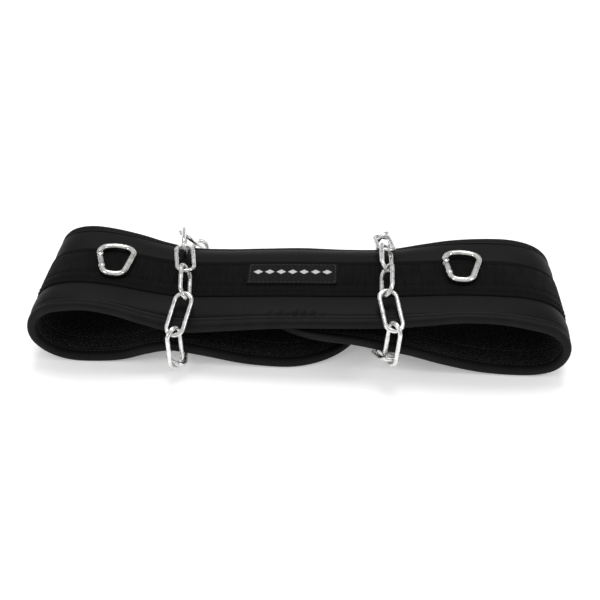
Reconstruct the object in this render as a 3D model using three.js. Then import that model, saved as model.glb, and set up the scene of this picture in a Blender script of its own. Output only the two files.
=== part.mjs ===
import * as THREE from "three";

// A padded lifting belt closed to a flattened loop that lies on its side, with two steel chains
// wrapped round it and two small carabiners resting on its webbing. Millimetres, +Z up,
// X along the belt, Y across its width with the near edge at -Y, floor at Z = 0.

// Belt wall
const BELT_WIDTH = 130;
const HALF_WIDTH = BELT_WIDTH / 2;
const END_LENGTH = 78;
const STIFF_HALF = 25;
const SHELL_OUT = 4.0;
const SHELL_IN = -3.0;
const GAP = 0.3;
const TAPE_GAP = 0.45;

// Knit lining on the inside of the wall
const LINING_THICK = 1.0;
const LINING_OUT = SHELL_IN - GAP - 0.05;
const LINING_IN = LINING_OUT - LINING_THICK;

// Folded tape round every edge
const BINDING_THICK = 1.2;
const BINDING_FLAP = 9;
const BINDING_PROUD = 0.2;
const BINDING_OUT = SHELL_OUT + BINDING_PROUD;
const BINDING_IN = LINING_IN;
const EDGE_OUT = BINDING_OUT - BINDING_THICK - TAPE_GAP;
const EDGE_IN = BINDING_IN + BINDING_THICK + TAPE_GAP;
const STEP_INSET = BINDING_FLAP + TAPE_GAP;
const STEP_RUN = 0.4;

// Webbing and label
const WEBBING_WIDTH = 55;
const WEBBING_SHIFT = -2;
const WEBBING_THICK = 1.6;
const WEBBING_IN = SHELL_OUT + TAPE_GAP;
const WEBBING_OUT = WEBBING_IN + WEBBING_THICK;
const WEBBING_END = 84;
const LABEL_LENGTH = 86;
const LABEL_WIDTH = 31;
const LABEL_SHIFT = 2.4;
const LABEL_THICK = 0.8;
const LABEL_IN = WEBBING_OUT + GAP + 0.15;

// Chain link
const LINK_WIRE = 4;
const LINK_LENGTH = 46;
const LINK_WIDTH = 20;
const LINK_ARC_STEPS = 6;
const LINK_SIDES = 6;

// Carabiner
const HOOK_WIRE = 6;
const HOOK_SIDES = 8;
const HOOK_LENGTH = 50;
const HOOK_BACK_WIDTH = 38;
const HOOK_FRONT_WIDTH = 28;
const HOOK_BACK_RADIUS = 10;
const HOOK_FRONT_RADIUS = 9.5;
const HOOK_BACK_BULGE = 1;
const GATE_GAP = 0.4;

// The wall seen from the near side: its middle layer from the buried tail, along the floor,
// up round the left end, over the top, down round the right end and back to the upper tail.
// near and far are how much higher the two long edges sit than the stiff middle under the webbing.
const FLOOR_RUN = WEBBING_OUT;
const PROFILE = [
  { x: 62, z: FLOOR_RUN + 2, near: 0, far: 0, steps: 1 },
  { x: 36, z: FLOOR_RUN + 0.7, near: -1.5, far: -1.5, steps: 2 },
  { x: -16, z: FLOOR_RUN + 0.2, near: -1.7, far: -1.7, steps: 2 },
  { x: -51, z: 9.4, near: -2.2, far: -2.2, steps: 2 },
  { x: -86, z: 16.6, near: -1.8, far: -2.2, steps: 2 },
  { x: -118, z: 20.6, near: -0.4, far: -0.4, steps: 2 },
  { x: -142, z: 16.4, near: -1.4, far: -1.8, steps: 2 },
  { x: -164, z: 9.2, near: -1.8, far: -1.8, steps: 1 },
  { x: -185, z: FLOOR_RUN, near: -1.7, far: -1.7, steps: 1 },
  { x: -212, z: FLOOR_RUN, near: -1.7, far: -1.7, steps: 2 },
  { x: -231, z: 11.5, near: -0.6, far: 0, steps: 2 },
  { x: -243, z: 23, near: 0, far: 1, steps: 2 },
  { x: -246, z: 36, near: 0, far: 2, steps: 2 },
  { x: -241.5, z: 49.5, near: 0.5, far: 3, steps: 2 },
  { x: -230, z: 59, near: 1, far: 3, steps: 2 },
  { x: -212, z: 63, near: 1.5, far: 2.2, steps: 1 },
  { x: -190, z: 62.8, near: 3, far: -0.5, steps: 2 },
  { x: -165, z: 59.2, near: 1.2, far: -3.5, steps: 2 },
  { x: -140, z: 54, near: -3, far: -7, steps: 2 },
  { x: -111, z: 50.4, near: -7.6, far: -9.8, steps: 2 },
  { x: -75, z: 51.2, near: -5.8, far: -11, steps: 2 },
  { x: -38, z: 53.2, near: -3.6, far: -11, steps: 2 },
  { x: 0, z: 54.6, near: -2, far: -10.4, steps: 2 },
  { x: 45, z: 55.8, near: -1.8, far: -12.3, steps: 2 },
  { x: 86, z: 57.6, near: -1.2, far: -12.2, steps: 2 },
  { x: 120, z: 60, near: 0.9, far: -6.6, steps: 2 },
  { x: 150, z: 61.8, near: 3.4, far: -2, steps: 2 },
  { x: 182, z: 62, near: 2.6, far: 0.8, steps: 1 },
  { x: 208, z: 60.6, near: -0.6, far: 1.6, steps: 2 },
  { x: 229, z: 55, near: -1, far: 1, steps: 2 },
  { x: 242, z: 44, near: -1, far: 1, steps: 2 },
  { x: 246, z: 30, near: -1, far: 1, steps: 2 },
  { x: 241.5, z: 16.5, near: -1, far: 0, steps: 2 },
  { x: 230, z: 8.8, near: -1.4, far: -1, steps: 1 },
  { x: 208, z: FLOOR_RUN, near: -1.7, far: -1.7, steps: 2 },
  { x: 172, z: 8.4, near: -2, far: -2, steps: 2 },
  { x: 136, z: 15.8, near: -1.4, far: -2, steps: 2 },
  { x: 104, z: 24.2, near: 0, far: -3, steps: 2 },
  { x: 78, z: 29, near: 0.4, far: -5, steps: 2 },
  { x: 50, z: 33, near: 2.4, far: -8, steps: 2 },
  { x: 22, z: 35, near: 3, far: -8, steps: 2 },
  { x: -14, z: 36.4, near: 3, far: -6, steps: 1 },
  { x: -42, z: 36.6, near: 0, far: 0, steps: 1 },
];

function cubic(a, b, c, d, t) {
  const m0 = (c - a) / 2;
  const m1 = (d - b) / 2;
  const u = t * t;
  const v = u * t;
  return (2 * v - 3 * u + 1) * b + (v - 2 * u + t) * m0 + (3 * u - 2 * v) * c + (v - u) * m1;
}

// Finely drawn middle line with its running length, used to place everything on the wall.
const FINE_STEPS = 12;
const middle = [];
PROFILE.slice(0, -1).forEach((row, i) => {
  const before = PROFILE[Math.max(i - 1, 0)];
  const after = PROFILE[Math.min(i + 2, PROFILE.length - 1)];
  const rows = [before, row, PROFILE[i + 1], after];
  const last = i === PROFILE.length - 2 ? 1 : 0;
  for (let k = 0; k < FINE_STEPS + last; k += 1) {
    const t = k / FINE_STEPS;
    const at = (column) => cubic(...rows.map((r) => r[column]), t);
    middle.push({ x: at("x"), z: at("z"), near: at("near"), far: at("far"), row: i + t });
  }
});
middle.forEach((point, i) => {
  const before = middle[i - 1];
  point.run = before ? before.run + Math.hypot(point.x - before.x, point.z - before.z) : 0;
});
const BELT_LENGTH = middle[middle.length - 1].run;

function onMiddle(run) {
  const past = middle.findIndex((point) => point.run >= run);
  const i = Math.min(Math.max(past < 0 ? middle.length - 1 : past, 1), middle.length - 1);
  const a = middle[i - 1];
  const b = middle[i];
  const t = (run - a.run) / (b.run - a.run);
  const mix = (column) => a[column] + (b[column] - a[column]) * t;
  return { x: mix("x"), z: mix("z"), near: mix("near"), far: mix("far") };
}

// A point of the wall: run along the belt, y across it, out from its middle layer.
const TANGENT_REACH = 2.5;
function wallPoint(run, y, out) {
  const here = onMiddle(run);
  const back = onMiddle(Math.max(run - TANGENT_REACH, 0));
  const ahead = onMiddle(Math.min(run + TANGENT_REACH, BELT_LENGTH));
  const length = Math.hypot(ahead.x - back.x, ahead.z - back.z);
  const share = Math.max((Math.abs(y) - STIFF_HALF) / (HALF_WIDTH - STIFF_HALF), 0) ** 2;
  const lift = share * (y < 0 ? here.near : here.far);
  const outX = -(ahead.z - back.z) / length;
  const outZ = (ahead.x - back.x) / length;
  return new THREE.Vector3(here.x + out * outX, y, here.z + out * outZ + lift);
}

function runAtRow(rowNumber) {
  return middle[Math.round(rowNumber * FINE_STEPS)].run;
}

// Stations along the belt: rounded ends by angle, the rest by the rows of the profile.
const END_STEPS = 5;
const endAngles = Array.from({ length: END_STEPS + 1 }, (_, k) => (k / END_STEPS) * (Math.PI / 2));
const innerRuns = [];
PROFILE.slice(0, -1).forEach((row, i) => {
  for (let k = 0; k < row.steps; k += 1) {
    innerRuns.push(runAtRow(i + k / row.steps));
  }
});
const straightRuns = innerRuns.filter((run) => run > END_LENGTH + 8 && run < BELT_LENGTH - END_LENGTH - 8);

// One station of the outline, drawn in by inset from the belt's edge.
function outlineStations(inset) {
  const length = END_LENGTH - inset;
  const half = HALF_WIDTH - inset;
  const first = endAngles.map((a) => ({ run: END_LENGTH - length * Math.cos(a), half: half * Math.sin(a) }));
  const last = first.map((p) => ({ run: BELT_LENGTH - p.run, half: p.half })).reverse();
  return [...first, ...straightRuns.map((run) => ({ run, half })), ...last];
}

function solidFrom(points, triangles) {
  const geometry = new THREE.BufferGeometry();
  const numbers = points.flatMap((p) => [p.x, p.y, p.z]);
  geometry.setAttribute("position", new THREE.Float32BufferAttribute(numbers, 3));
  geometry.setIndex(triangles);
  const plain = geometry.toNonIndexed();
  plain.computeVertexNormals();
  return plain;
}

// Closed loop of the outline at one inset and height: near side forwards, far side back.
function outlineRing(inset, out) {
  const stations = outlineStations(inset);
  const near = stations.map((p) => wallPoint(p.run, -p.half, out));
  const far = stations.slice(1, -1).map((p) => wallPoint(p.run, p.half, out)).reverse();
  return [...near, ...far];
}

// Two triangles; turned splits the quad along its other diagonal, so that faces lying one over
// the other fold the same way.
function addQuad(triangles, a, b, c, d, turned = false) {
  if (turned) {
    triangles.push(a, b, d, b, c, d);
  } else {
    triangles.push(a, b, c, a, c, d);
  }
}

// A sheet with the belt's outline. faces.outer and faces.inner run from its edge inwards, each a
// list of { inset, out }; inside the last of them the face is spanned in straight columns.
const COLUMN_SHARES = [-1, -0.725, -0.453, 0, 0.453, 0.725, 1];
function outlineSheet(faces) {
  const columns = COLUMN_SHARES.length - 1;
  const points = [];
  const triangles = [];
  const addRing = (ring) => {
    const start = points.length;
    points.push(...ring);
    return start;
  };
  const size = 2 * (outlineStations(0).length - 1);
  const band = (a, b, turned) => {
    for (let i = 0; i < size; i += 1) {
      const j = (i + 1) % size;
      addQuad(triangles, a + i, a + j, b + j, b + i, turned);
    }
  };
  const face = (steps, flip) => {
    const starts = steps.map((step) => addRing(outlineRing(step.inset, step.out)));
    starts.slice(1).forEach((start, i) => {
      if (flip) {
        band(start, starts[i], true);
      } else {
        band(starts[i], start, false);
      }
    });
    const inner = steps[steps.length - 1];
    const base = starts[starts.length - 1];
    const stations = outlineStations(inner.inset);
    const lastStation = stations.length - 1;
    const index = stations.map((p, i) => {
      if (i === 0 || i === lastStation) {
        return Array(columns + 1).fill(base + i);
      }
      const row = [base + i];
      for (let c = 1; c < columns; c += 1) {
        row.push(points.length);
        points.push(wallPoint(p.run, p.half * COLUMN_SHARES[c], inner.out));
      }
      return [...row, base + size - i];
    });
    for (let i = 0; i < lastStation; i += 1) {
      for (let c = 0; c < columns; c += 1) {
        const [a, b, d, e] = [index[i][c], index[i + 1][c], index[i + 1][c + 1], index[i][c + 1]];
        [[a, b, d], [a, d, e]].forEach(([p, q, r]) => {
          if (p !== q && q !== r && p !== r) {
            triangles.push(...(flip ? [p, r, q] : [p, q, r]));
          }
        });
      }
    }
    return starts[0];
  };
  const outerEdge = face(faces.outer, false);
  const innerEdge = face(faces.inner, true);
  band(innerEdge, outerEdge, false);
  return solidFrom(points, triangles);
}

// A ring of sections round the belt's outline: each section is a loop of { inset, out }.
function outlineTape(section) {
  const rings = section.map((corner) => outlineRing(corner.inset, corner.out));
  const size = rings[0].length;
  const triangles = [];
  section.forEach((corner, s) => {
    const t = (s + 1) % section.length;
    const turned = corner.inset > section[t].inset;
    for (let i = 0; i < size; i += 1) {
      const j = (i + 1) % size;
      addQuad(triangles, s * size + i, s * size + j, t * size + j, t * size + i, turned);
    }
  });
  return solidFrom(rings.flat(), triangles);
}

// A strip lying on the wall, straight cut at both ends.
function wallStrip(runs, ys, outLow, outHigh) {
  const points = [];
  runs.forEach((run) => {
    ys.forEach((y) => points.push(wallPoint(run, y, outHigh)));
    [...ys].reverse().forEach((y) => points.push(wallPoint(run, y, outLow)));
  });
  const size = 2 * ys.length;
  const triangles = [];
  for (let i = 0; i < runs.length - 1; i += 1) {
    for (let k = 0; k < size; k += 1) {
      const l = (k + 1) % size;
      addQuad(triangles, i * size + k, (i + 1) * size + k, (i + 1) * size + l, i * size + l, k >= ys.length);
    }
  }
  [0, runs.length - 1].forEach((i) => {
    for (let k = 0; k < ys.length - 1; k += 1) {
      const [a, b, c, d] = [k, k + 1, size - 2 - k, size - 1 - k].map((n) => i * size + n);
      if (i === 0) {
        addQuad(triangles, a, b, c, d);
      } else {
        addQuad(triangles, d, c, b, a);
      }
    }
  });
  return solidFrom(points, triangles);
}

// A round wire along a line of points in the XY plane, closed to a ring or cut flat at its ends.
function flatWire(line, radius, sides, closed) {
  const count = line.length;
  const points = [];
  line.forEach((p, i) => {
    const before = closed ? line[(i + count - 1) % count] : line[Math.max(i - 1, 0)];
    const after = closed ? line[(i + 1) % count] : line[Math.min(i + 1, count - 1)];
    const inDir = new THREE.Vector2().subVectors(p, before);
    const outDir = new THREE.Vector2().subVectors(after, p);
    if (inDir.length() === 0) {
      inDir.copy(outDir);
    }
    if (outDir.length() === 0) {
      outDir.copy(inDir);
    }
    inDir.normalize();
    outDir.normalize();
    const along = inDir.clone().add(outDir).normalize();
    const stretch = 1 / Math.max(along.dot(inDir), 0.5);
    for (let k = 0; k < sides; k += 1) {
      const a = ((k + 0.5) / sides) * 2 * Math.PI;
      const side = radius * Math.cos(a) * stretch;
      points.push(new THREE.Vector3(p.x - along.y * side, p.y + along.x * side, radius * Math.sin(a)));
    }
  });
  const triangles = [];
  const spans = closed ? count : count - 1;
  for (let i = 0; i < spans; i += 1) {
    const j = (i + 1) % count;
    for (let k = 0; k < sides; k += 1) {
      const l = (k + 1) % sides;
      addQuad(triangles, i * sides + k, i * sides + l, j * sides + l, j * sides + k);
    }
  }
  if (!closed) {
    for (let k = 1; k < sides - 1; k += 1) {
      triangles.push(0, k + 1, k);
      const end = (count - 1) * sides;
      triangles.push(end, end + k, end + k + 1);
    }
  }
  return solidFrom(points, triangles);
}

function material(colour, roughness, metalness) {
  return new THREE.MeshStandardMaterial({ color: colour, roughness, metalness });
}

const belt = new THREE.Group();
belt.name = "dip_belt";

function addMesh(parent, name, geometry, look) {
  const mesh = new THREE.Mesh(geometry, look);
  mesh.name = name;
  parent.add(mesh);
  return mesh;
}

// Padded shell: full thickness inside the binding, stepped thinner under the folded tape.
const BODY_EDGE = BINDING_THICK + TAPE_GAP;
const bodyFaces = {
  outer: [
    { inset: BODY_EDGE, out: EDGE_OUT },
    { inset: STEP_INSET, out: EDGE_OUT },
    { inset: STEP_INSET + STEP_RUN, out: SHELL_OUT },
  ],
  inner: [
    { inset: BODY_EDGE, out: EDGE_IN },
    { inset: STEP_INSET + STEP_RUN, out: SHELL_IN },
  ],
};
addMesh(belt, "belt_body", outlineSheet(bodyFaces), material(0x222223, 0.62, 0));

// Knit lining inside the tape's inner flap.
const liningFaces = {
  outer: [{ inset: STEP_INSET, out: LINING_OUT }],
  inner: [{ inset: STEP_INSET, out: LINING_IN }],
};
addMesh(belt, "lining", outlineSheet(liningFaces), material(0x0e0e0f, 0.95, 0));

// Binding tape folded over the edge, round both long edges and both rounded ends.
const bindingSection = [
  { inset: BINDING_FLAP, out: BINDING_OUT },
  { inset: BINDING_FLAP, out: BINDING_OUT - BINDING_THICK },
  { inset: BINDING_THICK, out: BINDING_OUT - BINDING_THICK },
  { inset: BINDING_THICK, out: BINDING_IN + BINDING_THICK },
  { inset: BINDING_FLAP, out: BINDING_IN + BINDING_THICK },
  { inset: BINDING_FLAP, out: BINDING_IN },
  { inset: BINDING_THICK / 2, out: BINDING_IN },
  { inset: 0, out: BINDING_IN + BINDING_THICK },
  { inset: 0, out: BINDING_OUT - BINDING_THICK },
  { inset: BINDING_THICK / 2, out: BINDING_OUT },
];
addMesh(belt, "edge_binding", outlineTape(bindingSection), material(0x1d1d1e, 0.7, 0));

// Webbing sewn along the middle of the outer face, ending short of both rounded ends.
const webbingRuns = [
  WEBBING_END,
  ...straightRuns.filter((run) => run > WEBBING_END + 6 && run < BELT_LENGTH - WEBBING_END - 6),
  BELT_LENGTH - WEBBING_END,
];
const webbingYs = [-0.5, 0, 0.5].map((share) => share * WEBBING_WIDTH + WEBBING_SHIFT);
addMesh(
  belt,
  "webbing_strap",
  wallStrip(webbingRuns, webbingYs, WEBBING_IN, WEBBING_OUT),
  material(0x161617, 0.85, 0),
);

// Woven label across the middle of the top layer.
const topMiddleRow = PROFILE.findIndex((row) => row.x === 0);
const labelMiddle = runAtRow(topMiddleRow) - 7;
const labelRuns = [-0.5, -0.25, 0, 0.25, 0.5].map((share) => labelMiddle + share * LABEL_LENGTH);
const labelYs = [-0.5, 0.5].map((share) => share * LABEL_WIDTH + LABEL_SHIFT);
addMesh(
  belt,
  "label_patch",
  wallStrip(labelRuns, labelYs, LABEL_IN, LABEL_IN + LABEL_THICK),
  material(0x101011, 0.45, 0),
);

// One link: a long ring of round wire lying along Y.
function linkGeometry(length) {
  const radius = (LINK_WIDTH - LINK_WIRE) / 2;
  const reach = (length - LINK_WIRE) / 2 - radius;
  const line = [];
  [1, -1].forEach((end) => {
    for (let k = 0; k <= LINK_ARC_STEPS; k += 1) {
      const a = (k / LINK_ARC_STEPS) * Math.PI;
      line.push(new THREE.Vector2(end * radius * Math.cos(a), end * (reach + radius * Math.sin(a))));
    }
  });
  return flatWire(line, LINK_WIRE / 2, LINK_SIDES, true);
}

// Where each link meets the next one on the way round a belt of the laid width, and how far the
// link that starts there is rolled about its own length from lying flat, in degrees.
const CHAIN_LAID_WIDTH = 130;
const LEFT_CHAIN = [
  { x: -104, y: -41.5, z: 65, roll: 7 },
  { x: -111, y: -74, z: 47.5, roll: -57 },
  { x: -110.5, y: -76.5, z: 14, roll: 19 },
  { x: -114.5, y: -41, z: 5, roll: -26 },
  { x: -117, y: -6, z: 8, roll: 28 },
  { x: -113, y: 30.5, z: 6.5, roll: -29 },
  { x: -108.5, y: 67, z: 7, roll: 35 },
  { x: -109.5, y: 83.5, z: 34, roll: -35 },
  { x: -121, y: 65, z: 59.5, roll: -88 },
  { x: -115.5, y: 31, z: 68, roll: -5 },
  { x: -108.5, y: -5.5, z: 68.5, roll: -64 },
];
const RIGHT_CHAIN = [
  { x: 81, y: -40.5, z: 74.5, roll: -8 },
  { x: 88, y: -74.5, z: 61.5, roll: 55 },
  { x: 85.5, y: -78, z: 28.5, roll: 2 },
  { x: 78.5, y: -46.5, z: 9.5, roll: 64 },
  { x: 79.5, y: -10.5, z: 9.5, roll: -27 },
  { x: 81, y: 26.5, z: 9, roll: 43 },
  { x: 78, y: 63, z: 7.5, roll: -28 },
  { x: 84.5, y: 84, z: 35.5, roll: 44 },
  { x: 79.5, y: 65.5, z: 62.5, roll: -6 },
  { x: 82.5, y: 33.5, z: 72, roll: -52 },
  { x: 82, y: -4, z: 74.5, roll: 56 },
];

// A link's end beside a belt of any width: the rims carry the links round them along, and those
// over and under the belt move in proportion.
function besideBelt(row) {
  const share = THREE.MathUtils.clamp(row.y / (CHAIN_LAID_WIDTH / 2), -1, 1);
  return new THREE.Vector3(row.x, row.y + (share * (BELT_WIDTH - CHAIN_LAID_WIDTH)) / 2, row.z);
}

function addChain(side, meetings) {
  const look = material(0xc9cbcc, 0.28, 1);
  const chain = new THREE.Group();
  chain.name = side + "_chain";
  belt.add(chain);
  meetings.forEach((row, i) => {
    const next = meetings[(i + 1) % meetings.length];
    const laid = Math.hypot(next.x - row.x, next.y - row.y, next.z - row.z);
    const from = besideBelt(row);
    const to = besideBelt(next);
    const length = LINK_LENGTH + from.distanceTo(to) - laid;
    const along = to.clone().sub(from).normalize();
    const flat = new THREE.Vector3(1, 0, 0).addScaledVector(along, -along.x).normalize();
    flat.applyAxisAngle(along, THREE.MathUtils.degToRad(row.roll));
    const up = new THREE.Vector3().crossVectors(flat, along);
    const number = String(i + 1).padStart(2, "0");
    const mesh = addMesh(chain, side + "_link_" + number, linkGeometry(length), look);
    mesh.quaternion.setFromRotationMatrix(new THREE.Matrix4().makeBasis(flat, along, up));
    mesh.position.copy(from).add(to).multiplyScalar(0.5);
  });
}
addChain("left", LEFT_CHAIN);
addChain("right", RIGHT_CHAIN);

// Carabiner outline in its own plane, +Y to its broad end: the line its wire follows, from the
// gate's hinge round the broad end, down the solid side and round the narrow end to the latch.
const hookHalf = (HOOK_LENGTH - HOOK_WIRE) / 2;
const backHalf = (HOOK_BACK_WIDTH - HOOK_WIRE) / 2;
const frontHalf = (HOOK_FRONT_WIDTH - HOOK_WIRE) / 2;
const backCorner = new THREE.Vector2(
  backHalf - HOOK_BACK_RADIUS,
  hookHalf - HOOK_BACK_BULGE - HOOK_BACK_RADIUS,
);
const frontCorner = new THREE.Vector2(frontHalf - HOOK_FRONT_RADIUS, -hookHalf + HOOK_FRONT_RADIUS);
const sideLean = Math.atan2(
  backCorner.x + HOOK_BACK_RADIUS - frontCorner.x - HOOK_FRONT_RADIUS,
  backCorner.y - frontCorner.y,
);

function arc(centre, radius, from, to, steps) {
  return Array.from({ length: steps + 1 }, (_, k) => {
    const a = from + ((to - from) * k) / steps;
    return new THREE.Vector2(centre.x + radius * Math.cos(a), centre.y + radius * Math.sin(a));
  });
}

function mirrored(line) {
  return line.map((p) => new THREE.Vector2(-p.x, p.y)).reverse();
}

const rightBack = arc(backCorner, HOOK_BACK_RADIUS, -sideLean, Math.PI * 0.42, 4);
const rightFront = arc(frontCorner, HOOK_FRONT_RADIUS, -Math.PI / 2, -sideLean, 4);
const leftBack = mirrored(rightBack);
const leftFront = mirrored(rightFront);
const frameEnd = leftBack[leftBack.length - 1];
const latchPoint = leftFront[0];
const gateAlong = latchPoint.clone().sub(frameEnd).normalize();
const hingePoint = frameEnd.clone().addScaledVector(gateAlong, HOOK_WIRE / 2 + GATE_GAP);
const gateLength = latchPoint.distanceTo(hingePoint);

const frameLine = [
  ...[...leftBack].reverse(),
  new THREE.Vector2(0, hookHalf),
  ...[...rightBack].reverse(),
  ...[...rightFront].reverse(),
  ...[...leftFront].reverse(),
];

// Gate bar with a rounded hinge end, in a plane whose origin is the hinge.
function gateGeometry() {
  const bar = HOOK_WIRE / 2;
  const line = [
    new THREE.Vector2(0, bar * 0.96),
    new THREE.Vector2(0, bar * 0.7),
    new THREE.Vector2(0, 0),
    new THREE.Vector2(0, -gateLength + 2 * GATE_GAP),
  ];
  const geometry = flatWire(line, bar, HOOK_SIDES, false);
  const position = geometry.getAttribute("position");
  for (let i = 0; i < position.count; i += 1) {
    if (position.getY(i) > bar * 0.8) {
      position.setX(i, position.getX(i) * 0.35);
    } else if (position.getY(i) > bar * 0.5) {
      position.setX(i, position.getX(i) * 0.72);
    }
  }
  geometry.computeVertexNormals();
  return geometry;
}

// Each carabiner lies on the webbing at a hump: where along X, how far back, and its turn.
const HOOKS = [
  { side: "left", x: -177.5, y: 3.5, turn: 6, dip: 8.2, height: 70.6, tip: -0.2 },
  { side: "right", x: 153.5, y: 9, turn: -6, dip: -1.6, height: 71, tip: -0.4 },
];
HOOKS.forEach((row) => {
  const look = material(0xcfd1d2, 0.25, 1);
  const hook = new THREE.Group();
  hook.name = row.side + "_hook";
  hook.position.set(row.x, row.y, row.height);
  hook.rotation.set(
    THREE.MathUtils.degToRad(row.tip),
    THREE.MathUtils.degToRad(row.dip),
    THREE.MathUtils.degToRad(row.turn),
    "YXZ",
  );
  belt.add(hook);
  addMesh(hook, row.side + "_carabiner", flatWire(frameLine, HOOK_WIRE / 2, HOOK_SIDES, false), look);
  const gate = addMesh(hook, row.side + "_gate", gateGeometry(), look);
  gate.position.set(hingePoint.x, hingePoint.y, 0);
  gate.rotation.z = Math.atan2(gateAlong.x, -gateAlong.y);
});

export default belt;
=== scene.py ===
import math

import bmesh
import bpy
from mathutils import Matrix, Vector


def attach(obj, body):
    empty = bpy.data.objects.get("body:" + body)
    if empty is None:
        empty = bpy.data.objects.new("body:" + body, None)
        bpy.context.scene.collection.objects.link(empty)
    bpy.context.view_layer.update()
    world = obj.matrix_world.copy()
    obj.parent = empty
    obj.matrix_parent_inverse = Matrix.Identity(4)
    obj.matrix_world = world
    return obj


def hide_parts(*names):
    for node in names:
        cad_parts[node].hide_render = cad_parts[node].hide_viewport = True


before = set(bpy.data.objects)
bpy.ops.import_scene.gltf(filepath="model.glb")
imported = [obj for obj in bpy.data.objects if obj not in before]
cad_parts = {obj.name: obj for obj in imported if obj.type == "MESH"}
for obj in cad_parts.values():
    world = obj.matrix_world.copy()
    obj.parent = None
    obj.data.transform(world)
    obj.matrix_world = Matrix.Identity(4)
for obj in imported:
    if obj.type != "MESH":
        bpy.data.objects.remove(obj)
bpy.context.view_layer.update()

# The studio: a lit white table top in a pale room, a broad overhead diffuser, and the camera that
# looks down on the loop from in front, a little round to its right end.
MM = 0.001
CAMERA_DROP = math.radians(38.3)
CAMERA_TURN = math.radians(2.91)
CAMERA_AWAY = 844.9 * MM
CAMERA_AIM = Vector((0.0, 0.0, 31.4 * MM))
PHOTO_SIDE = 600
PHOTO_FOCAL = 865.0
SENSOR = 36.0


def linear(hex_colour):
    channels = [int(hex_colour[i:i + 2], 16) / 255 for i in (1, 3, 5)]
    return [c / 12.92 if c <= 0.04045 else ((c + 0.055) / 1.055) ** 2.4 for c in channels] + [1.0]


def add_node(tree, kind, settings=None, links=None):
    """Adds one node: settings name its own properties or its sockets, links feed its sockets."""
    node = tree.nodes.new(kind)
    for name, value in (settings or {}).items():
        if isinstance(name, str) and name in node.bl_rna.properties:
            setattr(node, name, value)
        else:
            node.inputs[name].default_value = value
    for name, source in (links or {}).items():
        tree.links.new(source, node.inputs[name])
    return node


def new_material(name):
    """An empty material and its node tree."""
    made = bpy.data.materials.new(name)
    made.use_nodes = True
    made.node_tree.nodes.clear()
    return made, made.node_tree


def close_material(tree, shader):
    add_node(tree, "ShaderNodeOutputMaterial", links={"Surface": shader.outputs["BSDF"]})


camera_data = bpy.data.cameras.new("camera")
camera_data.sensor_width = SENSOR
camera_data.lens = SENSOR * PHOTO_FOCAL / PHOTO_SIDE
camera = bpy.data.objects.new("camera", camera_data)
bpy.context.collection.objects.link(camera)
look = Vector((
    -math.sin(CAMERA_TURN) * math.cos(CAMERA_DROP),
    math.cos(CAMERA_TURN) * math.cos(CAMERA_DROP),
    -math.sin(CAMERA_DROP),
))
camera.location = CAMERA_AIM - look * CAMERA_AWAY
camera.rotation_euler = (math.pi / 2 - CAMERA_DROP, 0.0, CAMERA_TURN)
bpy.context.scene.camera = camera
bpy.context.scene.view_settings.view_transform = "Standard"


def add_object(name, points, faces, material, smooth=True):
    mesh = bpy.data.meshes.new(name)
    mesh.from_pydata([tuple(p) for p in points], [], faces)
    mesh.validate()
    for polygon in mesh.polygons:
        polygon.use_smooth = smooth
    made = bpy.data.objects.new(name, mesh)
    bpy.context.collection.objects.link(made)
    if material:
        mesh.materials.append(material)
    return made


# The table top is backlit acrylic: its own glow keeps the shadow on it pale.
lit_acrylic, tree = new_material("backlit_white_acrylic")
shader = add_node(
    tree, "ShaderNodeBsdfPrincipled",
    {
        "Base Color": linear("#FBFBFB"), "Roughness": 0.9, "Specular IOR Level": 0.1,
        "Emission Color": linear("#FFFFFF"), "Emission Strength": 0.27,
    },
)
close_material(tree, shader)
TABLE_HALF = 6.0
floor = add_object(
    "studio_floor",
    [
        (-TABLE_HALF, -TABLE_HALF, 0), (TABLE_HALF, -TABLE_HALF, 0),
        (TABLE_HALF, TABLE_HALF, 0), (-TABLE_HALF, TABLE_HALF, 0),
    ],
    [(0, 1, 2, 3)],
    lit_acrylic,
)

# The room round the table is dimmer than what is over it.
world = bpy.data.worlds.new("studio")
world.use_nodes = True
sky = world.node_tree
direction = add_node(sky, "ShaderNodeTexCoord")
height = add_node(sky, "ShaderNodeSeparateXYZ", links={"Vector": direction.outputs["Generated"]})
dome = add_node(
    sky, "ShaderNodeMapRange", {"From Min": 0.0, "From Max": 0.75, "To Min": 0.34, "To Max": 0.68},
    {"Value": height.outputs["Z"]},
)
sky.nodes["Background"].inputs["Color"].default_value = linear("#FFFFFF")
sky.links.new(dome.outputs["Result"], sky.nodes["Background"].inputs["Strength"])
bpy.context.scene.world = world

# The broad overhead diffuser, a little behind the belt, throws one soft shadow forward. Two weak
# panels at the sides put long highlights on the wire.
SUN_FROM = Vector((0.02, 0.37, 0.93))
sun_data = bpy.data.lights.new("overhead_diffuser", "SUN")
sun_data.angle = math.radians(24)
sun_data.energy = 1.15
sun = bpy.data.objects.new("overhead_diffuser", sun_data)
bpy.context.collection.objects.link(sun)
sun.rotation_euler = SUN_FROM.to_track_quat("Z", "Y").to_euler()
PANELS = [
    # name, where it stands in metres, width, height, watts
    ("panel_left", (-1.2, -0.7, 0.9), 0.35, 0.35, 2.6),
    ("panel_right", (1.3, -0.3, 0.8), 0.25, 0.5, 2.6),
]
for name, place, width, height, watts in PANELS:
    data = bpy.data.lights.new(name, "AREA")
    data.shape = "RECTANGLE"
    data.size = width
    data.size_y = height
    data.energy = watts
    light = bpy.data.objects.new(name, data)
    bpy.context.collection.objects.link(light)
    light.location = place
    light.rotation_euler = (Vector((0, 0, 0.03)) - Vector(place)).to_track_quat("-Z", "Y").to_euler()


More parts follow.
